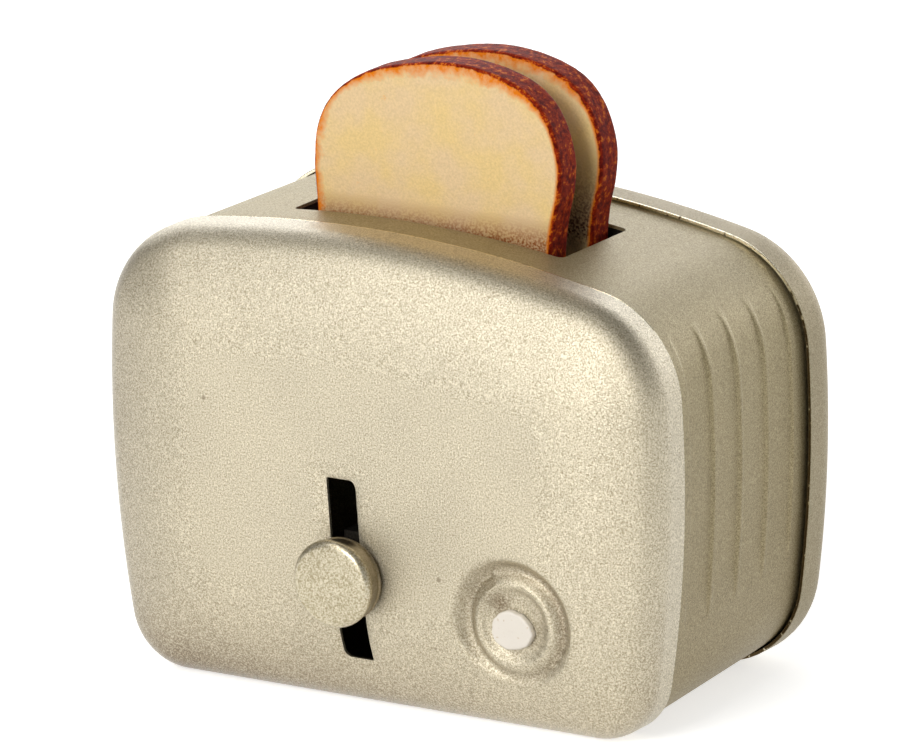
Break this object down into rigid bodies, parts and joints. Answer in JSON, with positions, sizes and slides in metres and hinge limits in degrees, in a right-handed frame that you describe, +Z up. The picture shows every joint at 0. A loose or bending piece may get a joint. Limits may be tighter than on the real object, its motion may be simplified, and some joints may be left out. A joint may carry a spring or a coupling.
{
  "type": "toy toaster",
  "caption": "Miniature tinplate pop-up toaster for a doll's house, with a sliding front lever that lifts a carriage with two slices of toy bread.",
  "frame": {"origin": "middle of the whole toy's footprint, on the ground under the skirts of the two end caps", "axes": "+X to the right seen from the front, -Y out of the front with the lever and the dial, +Z up"},
  "size_m": [0.055, 0.0376, 0.0541],
  "materials": {
    "gold_paint": "sprayed champagne gold metallic, satin with a fine grain",
    "knob_finish": "smooth pale gold, glossy",
    "bare_tin": "bare tinplate",
    "spring_steel": "bright spring steel",
    "enamel": "off-white enamel, hardly glossy",
    "toy_bread": "matte cream crumb with a mottled brown crust"
  },
  "bodies": {
    "body": {"front_shell": "gold_paint", "rear_shell": "gold_paint", "body_band": "gold_paint", "seam_rivets": "bare_tin", "bread_well": "bare_tin", "dial_bead": "enamel"},
    "lever": {"bread_carriage": "bare_tin", "lever_arm": "bare_tin", "friction_spring": "spring_steel", "arm_rivets": "bare_tin", "lever_stem": "bare_tin", "lever_knob": "knob_finish"},
    "slice_front": {"bread_slice_front": "toy_bread"},
    "slice_rear": {"bread_slice_rear": "toy_bread"}
  },
  "joints": [
    {"name": "lever_slide", "type": "slide", "parent": "body", "child": "lever", "axis": [0, 0, 1], "range_m": [-0.0055, 0.006]},
    {"name": "slice_front_lift", "type": "slide", "parent": "lever", "child": "slice_front", "axis": [0, 0, 1], "range_m": [0, 0.02]},
    {"name": "slice_rear_lift", "type": "slide", "parent": "lever", "child": "slice_rear", "axis": [0, 0, 1], "range_m": [0, 0.02]}
  ]
}
